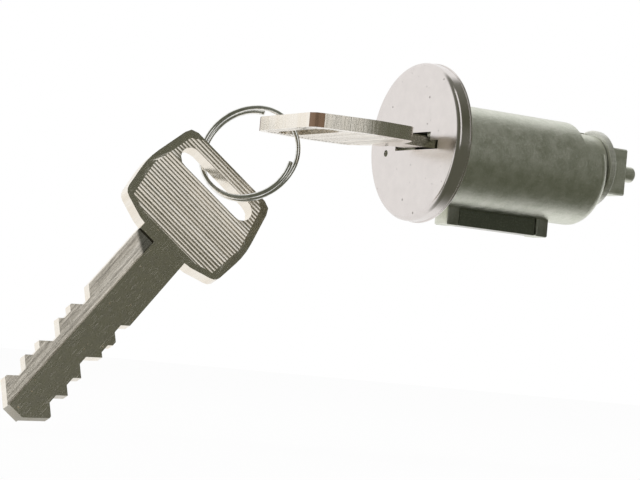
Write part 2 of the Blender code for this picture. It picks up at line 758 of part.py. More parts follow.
def ring_point(angle):
    """A point of the wire's middle, this many degrees from the wire's start."""
    single = 2 * 360 - RING_SWEEP
    crank = min(1.0, max(0.0, (angle - (360 - single)) / single))
    rise = RING_PITCH * (crank * crank * (3 - 2 * crank) - 0.5)
    near_end = max(0.0, 1 - min(angle, RING_SWEEP - angle) / RING_END_SPAN)
    radius = RING_RADIUS - RING_END_INSET * near_end ** 2
    turn = math.radians(RING_START + angle)
    return radius * math.cos(turn), radius * math.sin(turn), rise


def make_split_ring(material, parent):
    """Two flat turns of wire side by side, joined by a crank where the second turn is left off."""
    curve = bpy.data.curves.new("ring", "CURVE")
    curve.dimensions = "3D"
    curve.bevel_depth = RING_WIRE / 2
    curve.bevel_resolution = 2
    curve.use_fill_caps = True
    spline = curve.splines.new("POLY")
    count = round(RING_SWEEP / 10)
    spline.points.add(count)
    for i, point in enumerate(spline.points):
        point.co = (*ring_point(RING_SWEEP * i / count), 1.0)
    turn = RING_NORMAL.to_track_quat("Z", "Y").to_matrix().to_4x4()
    ring = bake(add_object("ring", curve, Matrix.Translation(RING_CENTRE) @ turn))
    return finish(ring, "split_ring", material, parent)


clear_scene()
part = new_collection("ignition_lock_cylinder")
cutters = new_collection("cutters")

zinc = make_material("zinc", (0.36, 0.37, 0.32), 0.42)
stainless = make_material("stainless", (0.74, 0.70, 0.69), 0.2)
dark_steel = make_material("dark_steel", (0.14, 0.14, 0.12), 0.45)
clip_steel = make_material("clip_steel", (0.50, 0.50, 0.44), 0.4)
wafer_brass = make_material("wafer_brass", (0.70, 0.56, 0.28), 0.35)
spring_steel = make_material("spring_steel", (0.56, 0.55, 0.53), 0.25)
key_nickel = make_material("key_nickel", (0.58, 0.55, 0.46), 0.28)
ring_steel = make_material("ring_steel", (0.62, 0.61, 0.58), 0.18)

make_housing(zinc)
make_retainer_bar(dark_steel, spring_steel)
rotor_axis = pivot("rotor_axis", (0, 0, 0))
make_rotor(zinc, rotor_axis)
make_face_cap(stainless, rotor_axis)
make_wafers(wafer_brass, spring_steel, rotor_axis)
make_clip(clip_steel, rotor_axis)
make_key("key", key_nickel, inserted_place())
ring_axis = pivot("ring_axis", (0, RING_SWING_Y, RING_SWING_Z))
make_split_ring(ring_steel, ring_axis)
spare_axis = pivot("spare_axis", RING_CENTRE)
spare_axis.parent = ring_axis
spare_axis.matrix_parent_inverse = ring_axis.matrix_world.inverted()
bpy.context.view_layer.update()
make_key("spare_key", key_nickel, spare_place(), spare_axis)
cutters.hide_render = True
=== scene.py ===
"""Looks of the ignition lock cylinder, its keys and their ring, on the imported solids.

Lengths are in metres. +Y runs along the lock's axis from the face back, and +Z is up.
A key has its own directions: u along the blade, v across it, w through its thickness.
"""

import math

import bmesh
import bpy
from bpy.props import FloatProperty, FloatVectorProperty, PointerProperty
from mathutils import Matrix, Vector


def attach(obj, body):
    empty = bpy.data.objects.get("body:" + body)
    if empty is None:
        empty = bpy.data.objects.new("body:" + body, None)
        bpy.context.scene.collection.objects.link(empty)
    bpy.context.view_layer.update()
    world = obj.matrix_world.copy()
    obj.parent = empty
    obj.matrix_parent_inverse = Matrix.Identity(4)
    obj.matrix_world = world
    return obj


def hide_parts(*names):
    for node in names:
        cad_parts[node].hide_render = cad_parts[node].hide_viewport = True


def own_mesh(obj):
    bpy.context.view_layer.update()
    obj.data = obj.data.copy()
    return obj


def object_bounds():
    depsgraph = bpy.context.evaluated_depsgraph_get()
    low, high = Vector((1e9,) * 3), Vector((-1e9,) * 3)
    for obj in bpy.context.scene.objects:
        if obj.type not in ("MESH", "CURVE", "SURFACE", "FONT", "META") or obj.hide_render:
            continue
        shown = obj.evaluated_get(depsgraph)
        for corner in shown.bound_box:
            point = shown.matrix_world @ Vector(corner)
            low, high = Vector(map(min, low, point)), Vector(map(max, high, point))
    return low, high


bl_info = {
    "name": "Ignition lock cylinder",
    "version": (1, 0, 0),
    "blender": (4, 5, 0),
    "location": "3D View > Sidebar > Lock",
    "description": "Dresses the lock cylinder, its keys and the split ring",
    "category": "Object",
}

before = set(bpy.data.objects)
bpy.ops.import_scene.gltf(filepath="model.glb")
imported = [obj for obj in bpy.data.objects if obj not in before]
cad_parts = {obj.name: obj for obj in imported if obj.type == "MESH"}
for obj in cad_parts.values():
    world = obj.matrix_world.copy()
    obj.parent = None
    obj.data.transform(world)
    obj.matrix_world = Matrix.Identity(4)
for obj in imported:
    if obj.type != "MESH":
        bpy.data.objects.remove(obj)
cad_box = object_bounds()
WAFERS = 10

# Points of a solid that lie closer than this are one
WELD = 2e-6

# Where the painted dark reflection on a bow's corners starts, and how far below a key's face its milled half
# lies at least
BOW_CORNER_U = 0.0172
BOW_CORNER_V = 0.0070
MILLED_STEP = 0.0003

# As the solids have them: how far the key in the lock stands off the face, the spare key's shoulder and
# directions, and the ring's middle and axis
KEY_STANDOFF = 0.00454
SPARE_SHOULDER = Vector((-0.00511, -0.04294, -0.02086))
SPARE_BLADE = Vector((0.2551, -0.6743, -0.6930))
SPARE_FACE = Vector((0.9391, 0.0019, 0.3437))
RING_CENTRE = Vector((-0.00850, -0.02768, -0.00487))
RING_NORMAL = Vector((0.5913, -0.7281, 0.3469))

# The ring's wire: where it starts, how far it runs and how much of that turns in at each end, in degrees
RING_START = 85
RING_SWEEP = 625
RING_END_SPAN = 50

# The stretches it is made of, and the width of its broken ends
RING_STEPS = 250
RING_END_EDGE = 0.00008

# Depths of the finishes' relief
CAST_RELIEF = 0.00006
PLATE_RELIEF = 0.00004
FINE_RELIEF = 0.00003
LINE_RELIEF = 0.00002

# The slope that the cutter left on a key, the painted shade by the wall where its milled floor starts, and
# the dark of the cap's pits
MILLED_SLOPE = -0.4
MILLED_PAINTED_SHADE = (0.05, 0.052, 0.038)
PIT_TONE = (0.24, 0.22, 0.2)

# Turns that lay tool lines along the lock's axis, or along, across and through a key
ALONG_AXIS = (0.0, 0.0, math.radians(-90))
ALONG = (0.0, 0.0, 0.0)
ACROSS = (0.0, 0.0, math.radians(90))
THROUGH = (0.0, math.radians(90), 0.0)

# The stage. A pair is a place along a ramp and its level, from 0 for the tent's dark to 1 for its light
FLOOR_HALF = 2.0
FLOOR_GAP = 0.0012
FLOOR_GLOW = 0.96
FLOOR_FADE = -5.0
FLOOR_FADE_START = 0.1
FLOOR_LEVELS = ((0.0, 0.0), (0.05, 0.08), (0.1, 0.4), (0.15, 1.0))
TENT_LEVELS = (
    (0.325, 1.0), (0.365, 0.75), (0.405, 0.3), (0.44, 0.11), (0.5, 0.1), (0.7, 0.04), (0.82, 0.0),
    (0.87, 0.0), (0.93, 0.08),
)
PANEL_LEVELS = ((0.375, 0.0), (0.40, 1.0), (0.60, 1.0), (0.63, 0.0))
PANEL_FRONT = 0.25
LAMP_PLACE = (-0.02, 0.05, 0.45)
LAMP_SIZE = 0.26
LAMP_POWER = 0.6
CAMERA_PLACE = (0.31284, -0.20584, -0.03728)
CAMERA_RIGHT = Vector((0.51626, 0.85135, 0.09321))
CAMERA_UP = Vector((-0.00226, -0.10747, 0.99420))
CAMERA_LENS = 130.33


def length(name, description, default):
    return FloatProperty(
        name=name, description=description, default=default, min=0.0, max=0.2, unit="LENGTH", precision=5,
    )


def colour(name, description, default):
    return FloatVectorProperty(
        name=name, description=description, default=default, size=3, min=0.0, max=1.0, subtype="COLOR",
    )


def share(name, description, default):
    return FloatProperty(
        name=name, description=description, default=default, min=0.0, max=1.0, subtype="FACTOR",
    )


class LockSizes(bpy.types.PropertyGroup):
    """Sizes of the lock's pieces and of the ring"""

    cap_radius: length("Cap radius", "Outer radius of the face cap", 0.0130)
    cap_depth: length("Cap depth", "Depth of the face cap", 0.00262)
    cap_roll: length("Cap roll", "Radius of the cap's rolled front edge", 0.0008)
    cap_sheet: length("Cap sheet", "Thickness of the cap's sheet", 0.00045)
    cap_flare: length("Cap flare", "How far the rear lip stands out", 0.00012)
    cap_lip: length("Cap lip", "Thickness of the rear lip", 0.0004)
    cap_lip_reach: length("Lip reach", "How far the rear lip reaches in", 0.0011)
    slot_width: length("Slot half width", "Half the width of the key slot's middle", 0.0050)
    slot_height: length("Slot half height", "Half the height of the key slot", 0.0014)
    slot_reach: length("Slot reach", "How far the slot's end notches reach", 0.0073)
    pinhole: length("Release hole", "Radius of the release hole in the face", 0.00055)
    pinhole_x: length("Release hole aside", "How far aside the release hole is", 0.00775)
    pinhole_z: length("Release hole below", "How far below the axis the release hole is", 0.00173)
    cast_edge: length("Cast edge", "Width of the castings' rounded edges", 0.00016)
    bar_travel: length("Bar travel", "How far the bar's springs shorten, a hair more than it rises", 0.00140)
    # The rail's sides below this height take a painted shade
    rail_drop: length("Rail drop", "How far below the axis the rail's dark sides start", 0.0102)
    clip_edge: length("Clip edge", "Width of the clip's rounded edges", 0.00022)
    bar_edge: length("Bar edge", "Width of the bar's broken edges", 0.00018)
    wire: length("Ring wire", "Diameter of the split ring's wire", 0.00079)
    ring_radius: length("Ring radius", "Radius of the ring at the middle of its wire", 0.00797)
    ring_pitch: length("Ring pitch", "Distance between the ring's two turns", 0.00092)
    ring_inset: length("Ring inset", "How far the wire's ends turn in", 0.00045)


class KeySizes(bpy.types.PropertyGroup):
    """Sizes of both keys"""

    thickness: length("Thickness", "Thickness of the keys", 0.00224)
    edge: length("Edge", "Width of the broken edges", 0.00009)


class LockFinish(bpy.types.PropertyGroup):
    """Colours and roughness of the metals, and the colours of the stage"""

    stainless: colour("Cap steel", "Satin steel of the face cap", (0.75, 0.705, 0.68))
    zinc: colour("Zinc", "Die-cast zinc of the housing and the rotor", (0.84, 0.85, 0.755))
    zinc_shade: colour("Zinc shade", "Darker patches of the cast skin", (0.68, 0.70, 0.595))
    bar: colour("Bar steel", "Dark steel of the retainer bar", (0.20, 0.215, 0.17))
    # The bar's bright underside colour is a painted reflection of the white floor
    bar_painted_reflection: colour("Rubbed bar", "Bar steel rubbed bright underneath", (0.62, 0.62, 0.56))
    clip: colour("Clip steel", "Dull steel of the retaining clip", (0.97, 0.97, 0.90))
    nickel: colour("Nickel", "Nickel plate of the keys", (0.97, 0.915, 0.825))
    # The bow corner colour is a painted dark reflection on the corner facets of the bows
    corner: colour("Bow corner", "Stained plate at the corners of the bow", (0.24, 0.155, 0.10))
    worn: colour("Worn brass", "Brass showing through the plate", (0.66, 0.50, 0.28))
    ring: colour("Ring steel", "Bright steel of the split ring", (0.93, 0.925, 0.89))
    brass: colour("Wafer brass", "Brass of the wafers", (0.78, 0.62, 0.32))
    spring: colour("Spring steel", "Bright steel of the springs", (0.70, 0.69, 0.67))
    cap_rough: share("Cap roughness", "Roughness of the cap's satin steel", 0.17)
    cast_rough: share("Cast roughness", "Roughness of the cast skin", 0.41)
    key_rough: share("Key roughness", "Roughness of the keys' plate", 0.16)
    floor: colour("Floor", "Floor and backdrop", (0.92, 0.92, 0.92))
    light: colour("Tent light", "Bright side of the light tent", (1.0, 1.0, 1.0))
    dark: colour("Tent dark", "Dark side of the light tent", (0.090, 0.093, 0.064))


# Meshes

def new_object(name, data, place=None):
    obj = bpy.data.objects.new(name, data)
    bpy.context.scene.collection.objects.link(obj)
    if place is not None:
        obj.matrix_world = place
    return obj


def to_object(work, name, place=None):
    mesh = bpy.data.meshes.new(name)
    bmesh.ops.recalc_face_normals(work, faces=work.faces)
    work.to_mesh(mesh)
    work.free()
    return new_object(name, mesh, place)


def settle(obj):
    """Apply the modifiers, drop the tools they used and refuse an empty result."""
    bpy.context.view_layer.update()
    tools = [modifier.object for modifier in obj.modifiers if modifier.type == "BOOLEAN"]
    shown = obj.evaluated_get(bpy.context.evaluated_depsgraph_get())
    mesh = bpy.data.meshes.new_from_object(shown)
    if not mesh.polygons:
        raise RuntimeError(f"{obj.name} has no faces left")
    obj.modifiers.clear()
    obj.data = mesh
    for tool in tools:
        bpy.data.objects.remove(tool)
    return obj


def clean(obj):
    """Weld the points and drop the edges that only split flat faces."""
    work = bmesh.new()
    work.from_mesh(obj.data)
    bmesh.ops.remove_doubles(work, verts=work.verts, dist=WELD)
    bmesh.ops.dissolve_limit(work, angle_limit=math.radians(0.3), verts=work.verts, edges=work.edges)
    bmesh.ops.recalc_face_normals(work, faces=work.faces)
    work.to_mesh(obj.data)
    work.free()
    return obj


def smooth(obj, angle=32):
    """Smooth shading that keeps sharp edges and leaves the large flats flat."""
    obj.data.shade_smooth()
    obj.data.set_sharp_from_angle(angle=math.radians(angle))
    flats = obj.modifiers.new("flat faces", "WEIGHTED_NORMAL")
    flats.keep_sharp = True
    flats.weight = 100
    return settle(obj)


def break_edges(obj, width, limit=50):
    """Round the edges that turn more than the limit in degrees, or the weighted ones where it is None."""
    bevel = obj.modifiers.new("broken edges", "BEVEL")
    bevel.width = width
    bevel.segments = 2
    bevel.limit_method = "WEIGHT" if limit is None else "ANGLE"
    if limit is not None:
        bevel.angle_limit = math.radians(limit)
    return settle(obj)


def cut(obj, tool):
    """Mark the tool to be taken out of the piece when it is settled."""
    modifier = obj.modifiers.new("cut", "BOOLEAN")
    modifier.operation = "DIFFERENCE"
    modifier.solver = "EXACT"
    modifier.object = tool


def plate(name, outline, start, end):
    """An outline in X and Z, made solid from one place along the axis to another."""
    work = bmesh.new()
    low = [work.verts.new((x, start, z)) for x, z in outline]
    high = [work.verts.new((x, end, z)) for x, z in outline]
    work.faces.new(low)
    work.faces.new(high)
    for i in range(len(outline)):
        work.faces.new((low[i - 1], low[i], high[i], high[i - 1]))
    return to_object(work, name)


def lathe(name, profile, sides=192):
    """A closed profile of radius and place along the axis, turned about the axis."""
    work = bmesh.new()
    rings = []
    for radius, along in profile:
        turns = [2 * math.pi * k / sides for k in range(sides)] if radius > 0.0 else [0.0]
        rings.append([work.verts.new((radius * math.cos(t), along, radius * math.sin(t))) for t in turns])
    for here, ahead in zip(rings, rings[1:] + rings[:1]):
        for k in range(sides):
            loop = [here[k % len(here)], here[(k + 1) % len(here)],
                    ahead[(k + 1) % len(ahead)], ahead[k % len(ahead)]]
            corners = list(dict.fromkeys(loop))
            if len(corners) > 2:
                work.faces.new(corners)
    return to_object(work, name)


def arc(centre, radius, start, end, steps):
    """Points of a profile's arc, from one angle in degrees to another."""
    turns = [math.radians(start + (end - start) * i / steps) for i in range(steps + 1)]
    return [(centre[0] + radius * math.cos(t), centre[1] + radius * math.sin(t)) for t in turns]


def drill(name, radius, start, end, sides=48):
    """A round cutter from one point to another."""
    work = bmesh.new()
    start, end = Vector(start), Vector(end)
    turn = (end - start).to_track_quat("Z", "Y").to_matrix().to_4x4()
    bmesh.ops.create_cone(
        work, cap_ends=True, segments=sides, radius1=radius, radius2=radius,
        depth=(end - start).length, matrix=Matrix.Translation((start + end) / 2) @ turn,
    )
    return to_object(work, name)


def tube(name, points, radius, sides=20):
    """A round wire along a row of points, with its ends closed."""
    work = bmesh.new()
    rings = []
    side = None
    for i, point in enumerate(points):
        ahead = points[min(i + 1, len(points) - 1)] - points[max(i - 1, 0)]
        ahead.normalize()
        if side is None:
            side = ahead.orthogonal()
        side = (side - side.dot(ahead) * ahead).normalized()
        up = ahead.cross(side)
        turns = [2 * math.pi * k / sides for k in range(sides)]
        outward = [math.cos(t) * side + math.sin(t) * up for t in turns]
        rings.append([work.verts.new(point + radius * way) for way in outward])
    for here, ahead in zip(rings, rings[1:]):
        for k in range(sides):
            work.faces.new((here[k - 1], here[k], ahead[k], ahead[k - 1]))
    work.faces.new(rings[0])
    work.faces.new(rings[-1])
    return to_object(work, name)


def from_solid(name, node):
    """A welded copy of a CAD node, for pieces whose own shape is right."""
    obj = new_object(name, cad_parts[node].data.copy())
    obj.data.materials.clear()
    with bpy.context.temp_override(object=obj, active_object=obj, selected_objects=[obj]):
        bpy.ops.mesh.customdata_custom_splitnormals_clear()
    return clean(obj)


def coat(obj, *finishes):
    """Give a piece its finishes, in the order that its faces number them."""
    for finish in finishes:
        obj.data.materials.append(finish)
    return obj


def seat(obj, body, node):
    """Give a piece the body it rides on and hide the CAD node it stands for."""
    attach(obj, body)
    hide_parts(node)


# Shader nodes

class Graph:
    """Short calls for placing and joining nodes in one tree."""

    def __init__(self, tree):
        self.tree = tree

    def add(self, kind, **values):
        node = self.tree.nodes.new(kind)
        for key, value in values.items():
            setattr(node, key, value)
        return node

    def join(self, source, target):
        self.tree.links.new(source, target)

    def feed(self, value, socket):
        if isinstance(value, bpy.types.NodeSocket):
            self.join(value, socket)
        else:
            socket.default_value = value

    def math(self, operation, *values):
        node = self.add("ShaderNodeMath", operation=operation)
        for value, socket in zip(values, node.inputs):
            self.feed(value, socket)
        return node.outputs[0]

    def noise(self, vector, scale, detail=3.0, roughness=0.55):
        node = self.add("ShaderNodeTexNoise")
        self.feed(vector, node.inputs["Vector"])
        self.feed(scale, node.inputs["Scale"])
        node.inputs["Detail"].default_value = detail
        node.inputs["Roughness"].default_value = roughness
        return node.outputs["Fac"]

    def ramp(self, value, *stops):
        node = self.add("ShaderNodeValToRGB")
        self.join(value, node.inputs[0])
        points = node.color_ramp.elements
        while len(points) < len(stops):
            points.new(0.5)
        for point, (place, tone) in zip(points, stops):
            point.position = place
            point.color = (tone, tone, tone, 1.0)
        return node.outputs[0]

    def blend(self, amount, a, b):
        node = self.add("ShaderNodeMix", data_type="RGBA")
        self.feed(amount, node.inputs[0])
        for value, socket in ((a, node.inputs[6]), (b, node.inputs[7])):
            self.feed(value if isinstance(value, bpy.types.NodeSocket) else (*value, 1.0), socket)
        return node.outputs[2]

    def stretch(self, vector, scale=(1.0, 1.0, 1.0), turn=(0.0, 0.0, 0.0)):
        node = self.add("ShaderNodeMapping")
        self.feed(vector, node.inputs["Vector"])
        node.inputs["Scale"].default_value = scale
        node.inputs["Rotation"].default_value = turn
        return node.outputs["Vector"]

    def bump(self, height, strength, distance):
        node = self.add("ShaderNodeBump")
        self.join(height, node.inputs["Height"])
        node.inputs["Strength"].default_value = strength
        node.inputs["Distance"].default_value = distance
        return node.outputs[0]

    def effect(self, name, **values):
        if name not in bpy.data.node_groups:
            EFFECTS[name]()
        node = self.add("ShaderNodeGroup", node_tree=bpy.data.node_groups[name])
        for key, value in values.items():
            self.feed(value, node.inputs[key])
        return node.outputs


def new_effect(name, inputs, outputs):
    """A shader node group with named sockets, ready to be filled."""
    tree = bpy.data.node_groups.new(name, "ShaderNodeTree")
    for label, kind, value in inputs:
        socket = tree.interface.new_socket(label, in_out="INPUT", socket_type="NodeSocket" + kind)
        if value is not None:
            socket.default_value = value
    for label in outputs:
        tree.interface.new_socket(label, in_out="OUTPUT", socket_type="NodeSocketFloat")
    graph = Graph(tree)
    put = graph.add("NodeGroupInput").outputs
    out = graph.add("NodeGroupOutput").inputs
    return graph, put, out


def cast_skin_effect():
    """Mottled patches, fine bright grain and the height of a die-cast skin."""
    inputs = (("Vector", "Vector", None), ("Patches", "Float", 480.0), ("Grain", "Float", 2600.0))
    graph, put, out = new_effect("cast skin", inputs, ("Mottle", "Specks", "Height"))
    patches = graph.noise(put["Vector"], put["Patches"], 5.0, 0.62)
    fine = graph.noise(put["Vector"], put["Grain"], 3.0, 0.7)
    dimples = graph.noise(put["Vector"], graph.math("MULTIPLY", put["Patches"], 6.0), 3.0, 0.55)
    graph.join(graph.ramp(patches, (0.38, 0.0), (0.62, 1.0)), out["Mottle"])
    graph.join(graph.ramp(fine, (0.52, 0.0), (0.74, 1.0)), out["Specks"])
    graph.join(graph.math("MULTIPLY_ADD", fine, 0.55, dimples), out["Height"])


def scratches_effect():
    """Thin scratches in three directions."""
    inputs = (("Vector", "Vector", None), ("Scale", "Float", 900.0), ("Amount", "Float", 0.5))
    graph, put, out = new_effect("scratches", inputs, ("Mask",))
    total = None
    for turn, thin in ((0.35, 14.0), (-0.8, 24.0), (1.35, 18.0)):
        vector = graph.stretch(put["Vector"], (1.0, thin, thin), (turn, 0.6 * turn, turn))
        lines = graph.noise(vector, put["Scale"], 2.0, 0.4)
        mask = graph.ramp(lines, (0.66, 0.0), (0.73, 1.0))
        total = mask if total is None else graph.math("MAXIMUM", total, mask)
    graph.join(graph.math("MULTIPLY", total, put["Amount"]), out["Mask"])


def pits_effect():
    """Small round specks, left out of most of the places where they could be."""
    inputs = (("Vector", "Vector", None), ("Scale", "Float", 900.0), ("Size", "Float", 0.12),
              ("Share", "Float", 0.3))
    graph, put, out = new_effect("pits", inputs, ("Mask",))
    dots = graph.add("ShaderNodeTexVoronoi")
    graph.join(put["Vector"], dots.inputs["Vector"])
    graph.join(put["Scale"], dots.inputs["Scale"])
    chance = graph.add("ShaderNodeSeparateColor")
    graph.join(dots.outputs["Color"], chance.inputs[0])
    reach = graph.math("MULTIPLY", put["Size"], graph.math("ADD", chance.outputs[1], 0.4))
    near = graph.math("LESS_THAN", dots.outputs["Distance"], reach)
    kept = graph.math("LESS_THAN", chance.outputs[0], put["Share"])
    graph.join(graph.math("MULTIPLY", near, kept), out["Mask"])


def tool_lines_effect():
    """Fine lines along the vector's X, as a cutter or a die leaves them."""
    inputs = (("Vector", "Vector", None), ("Pitch", "Float", 9000.0), ("Break", "Float", 0.02))
    graph, put, out = new_effect("tool lines", inputs, ("Lines", "Bands"))
    parts = graph.add("ShaderNodeSeparateXYZ")
    graph.join(put["Vector"], parts.inputs[0])
    along = graph.math("MULTIPLY", parts.outputs[0], put["Break"])
    vector = graph.add("ShaderNodeCombineXYZ")
    for i, value in enumerate((along, parts.outputs[1], parts.outputs[2])):
        graph.join(value, vector.inputs[i])
    fine = graph.noise(vector.outputs[0], put["Pitch"], 4.0, 0.75)
    broad = graph.noise(vector.outputs[0], graph.math("MULTIPLY", put["Pitch"], 0.22), 2.0, 0.5)
    graph.join(graph.ramp(fine, (0.32, 0.0), (0.68, 1.0)), out["Lines"])
    graph.join(graph.ramp(broad, (0.4, 0.0), (0.6, 1.0)), out["Bands"])


EFFECTS = {
    "cast skin": cast_skin_effect,
    "scratches": scratches_effect,
    "pits": pits_effect,
    "tool lines": tool_lines_effect,
}


def new_finish(name, directions=None):
    """A metal with its Principled shader's sockets and the piece's own coordinates."""
    finish = bpy.data.materials.new(name)
    finish.use_nodes = True
    graph = Graph(finish.node_tree)
    shader = finish.node_tree.nodes["Principled BSDF"].inputs
    shader["Metallic"].default_value = 1.0
    place = graph.add("ShaderNodeTexCoord").outputs["Object"]
    if directions is not None:
        own = directions.inverted()
        turned = graph.add("ShaderNodeMapping")
        graph.join(place, turned.inputs["Vector"])
        turned.inputs["Location"].default_value = own.to_translation()
        turned.inputs["Rotation"].default_value = own.to_euler()
        place = turned.outputs["Vector"]
    return finish, graph, shader, place


def shade(tone, level):
    """A tone made darker, or lighter up to white."""
    return tuple(min(1.0, v * level) for v in tone)


def cast_metal(name, light, dark, rough, relief):
    """Die-cast zinc: mottled, grainy, with fine bright specks."""
    finish, graph, shader, place = new_finish(name)
    skin = graph.effect("cast skin", Vector=place)
    rubs = graph.effect("scratches", Vector=place, Scale=520.0, Amount=0.5)
    tone = graph.blend(skin["Mottle"], dark, light)
    tone = graph.blend(graph.math("MULTIPLY", skin["Specks"], 0.6), tone, shade(light, 1.25))
    tone = graph.blend(graph.math("MULTIPLY", rubs["Mask"], 0.5), tone, shade(light, 1.15))
    graph.join(tone, shader["Base Color"])
    level = graph.math("MULTIPLY_ADD", skin["Specks"], 0.2, rough - 0.06)
    level = graph.math("MULTIPLY_ADD", rubs["Mask"], 0.2, level)
    graph.join(graph.math("MULTIPLY_ADD", skin["Mottle"], 0.05, level), shader["Roughness"])
    graph.join(graph.bump(skin["Height"], relief, CAST_RELIEF), shader["Normal"])
    return finish


def satin_steel(name, tone, rough):
    """Pressed stainless sheet: satin, clouded, with a few dark pits."""
    finish, graph, shader, place = new_finish(name)
    face = graph.stretch(place, (1.0, 0.05, 1.0))
    pits = graph.effect("pits", Vector=face, Scale=560.0, Size=0.09, Share=0.16)
    dust = graph.effect("pits", Vector=face, Scale=1500.0, Size=0.15, Share=0.05)
    marks = graph.effect("scratches", Vector=place, Scale=600.0, Amount=0.3)
    bloom = graph.noise(place, 420.0, 5.0, 0.7)
    specks = graph.math("MAXIMUM", pits["Mask"], graph.math("MULTIPLY", dust["Mask"], 0.6))
    cloud = graph.blend(graph.ramp(bloom, (0.35, 0.0), (0.7, 1.0)), tone, shade(tone, 0.95))
    graph.join(graph.blend(graph.math("MULTIPLY", specks, 0.7), cloud, PIT_TONE), shader["Base Color"])
    level = graph.math("MULTIPLY_ADD", bloom, 0.12, rough - 0.04)
    graph.join(graph.math("MULTIPLY_ADD", marks["Mask"], 0.12, level), shader["Roughness"])
    height = graph.math("SUBTRACT", graph.math("MULTIPLY", bloom, 0.3), specks)
    graph.join(graph.bump(height, 0.2, FINE_RELIEF), shader["Normal"])
    return finish


def ground_steel(name, tone, rough):
    """Steel with fine grain and lines along the lock's axis."""
    finish, graph, shader, place = new_finish(name)
    skin = graph.effect("cast skin", Vector=place, Patches=900.0, Grain=3600.0)
    along = graph.stretch(place, turn=ALONG_AXIS)
    lines = graph.effect("tool lines", Vector=along, Pitch=7000.0, Break=0.05)
    grainy = graph.blend(graph.math("MULTIPLY", skin["Specks"], 0.8), tone, shade(tone, 2.0))
    lined = graph.blend(graph.math("MULTIPLY", lines["Lines"], 0.3), grainy, shade(tone, 0.7))
    graph.join(lined, shader["Base Color"])
    graph.join(graph.math("MULTIPLY_ADD", lines["Lines"], 0.14, rough), shader["Roughness"])
    graph.join(graph.bump(skin["Height"], 0.25, FINE_RELIEF), shader["Normal"])
    return finish


def plated_face(name, directions, tone, worn, rough):
    """Polished plate with specks, scratches and small worn places."""
    finish, graph, shader, place = new_finish(name, directions)
    flat = graph.stretch(place, (1.0, 1.0, 0.05))
    specks = graph.effect("pits", Vector=flat, Scale=1150.0, Size=0.13, Share=0.3)
    marks = graph.effect("scratches", Vector=place, Scale=420.0, Amount=0.28)
    bloom = graph.noise(place, 1200.0, 5.0, 0.7)
    cloud = graph.blend(graph.ramp(bloom, (0.42, 0.0), (0.66, 1.0)), tone, shade(tone, 0.78))
    graph.join(graph.blend(graph.math("MULTIPLY", specks["Mask"], 0.5), cloud, worn), shader["Base Color"])
    level = graph.math("MULTIPLY_ADD", bloom, 0.16, rough - 0.03)
    scratched = graph.math("MULTIPLY", marks["Mask"], 0.35)
    dull = graph.math("MAXIMUM", scratched, graph.math("MULTIPLY", specks["Mask"], 0.5))
    graph.join(graph.math("ADD", level, dull), shader["Roughness"])
    grooves = graph.math("MULTIPLY", marks["Mask"], 0.5)
    height = graph.math("SUBTRACT", graph.math("MULTIPLY", bloom, 0.6), grooves)
    graph.join(graph.bump(height, 0.35, PLATE_RELIEF), shader["Normal"])
    return finish


def lined_metal(name, directions, tone, worn, rough, pitch, turn, depth, wear, low=0.8):
    """Cut or sheared metal: lines in one direction, with bands where another tone shows through."""
    finish, graph, shader, place = new_finish(name, directions)
    lines = graph.effect("tool lines", Vector=graph.stretch(place, turn=turn), Pitch=pitch)
    grain = graph.noise(place, 5200.0, 3.0, 0.65)
    lined = graph.blend(lines["Lines"], shade(tone, low), tone)
    graph.join(graph.blend(graph.math("MULTIPLY", lines["Bands"], wear), lined, worn), shader["Base Color"])
    graph.join(graph.math("MULTIPLY_ADD", grain, 0.2, rough - 0.05), shader["Roughness"])
    height = graph.math("MULTIPLY_ADD", grain, 0.3, lines["Lines"])
    graph.join(graph.bump(height, depth, LINE_RELIEF), shader["Normal"])
    return finish


def milled_plate(name, directions, tone, worn, rough):
    """A key's milled half: streaks along a floor that slopes a little, and painted shade near the shoulder
    by the milling's wall.
    """
    finish, graph, shader, place = new_finish(name, directions)
    lines = graph.effect("tool lines", Vector=place, Pitch=2300.0)
    grain = graph.noise(place, 5200.0, 3.0, 0.65)
    parts = graph.add("ShaderNodeSeparateXYZ")
    graph.join(place, parts.inputs[0])
    along, aside = parts.outputs[0], graph.math("ABSOLUTE", parts.outputs[1])
    streaks = graph.blend(lines["Lines"], shade(tone, 0.35), tone)
    streaks = graph.blend(graph.math("MULTIPLY", lines["Bands"], 0.1), streaks, worn)
    # Painted shade: darkest near the shoulder and the blade's middle, by the milling's wall
    start = graph.math("MULTIPLY_ADD", aside, 75.0, graph.math("MULTIPLY", along, 100.0))
    shown = graph.blend(graph.ramp(start, (0.46, 0.1), (0.53, 1.0)), MILLED_PAINTED_SHADE, streaks)
    graph.join(shown, shader["Base Color"])
    graph.join(graph.math("MULTIPLY_ADD", grain, 0.2, rough - 0.05), shader["Roughness"])
    height = graph.math("MULTIPLY_ADD", lines["Lines"], 1.2, graph.math("MULTIPLY", grain, 0.05))
    height = graph.math("MULTIPLY_ADD", along, MILLED_SLOPE / LINE_RELIEF, height)
    graph.join(graph.bump(height, 1.0, LINE_RELIEF), shader["Normal"])
    return finish


def drawn_wire(name, tone, rough):
    """Bright drawn wire with a little tarnish."""
    finish, graph, shader, place = new_finish(name)
    bloom = graph.noise(place, 1500.0, 4.0, 0.65)
    marks = graph.effect("scratches", Vector=place, Scale=1300.0, Amount=0.6)
    cloud = graph.blend(graph.ramp(bloom, (0.4, 0.0), (0.7, 1.0)), tone, shade(tone, 0.72))
    graph.join(cloud, shader["Base Color"])
    level = graph.math("MULTIPLY_ADD", bloom, 0.14, rough - 0.04)
    graph.join(graph.math("MULTIPLY_ADD", marks["Mask"], 0.12, level), shader["Roughness"])
    graph.join(graph.bump(bloom, 0.2, FINE_RELIEF), shader["Normal"])
    return finish


# Pieces

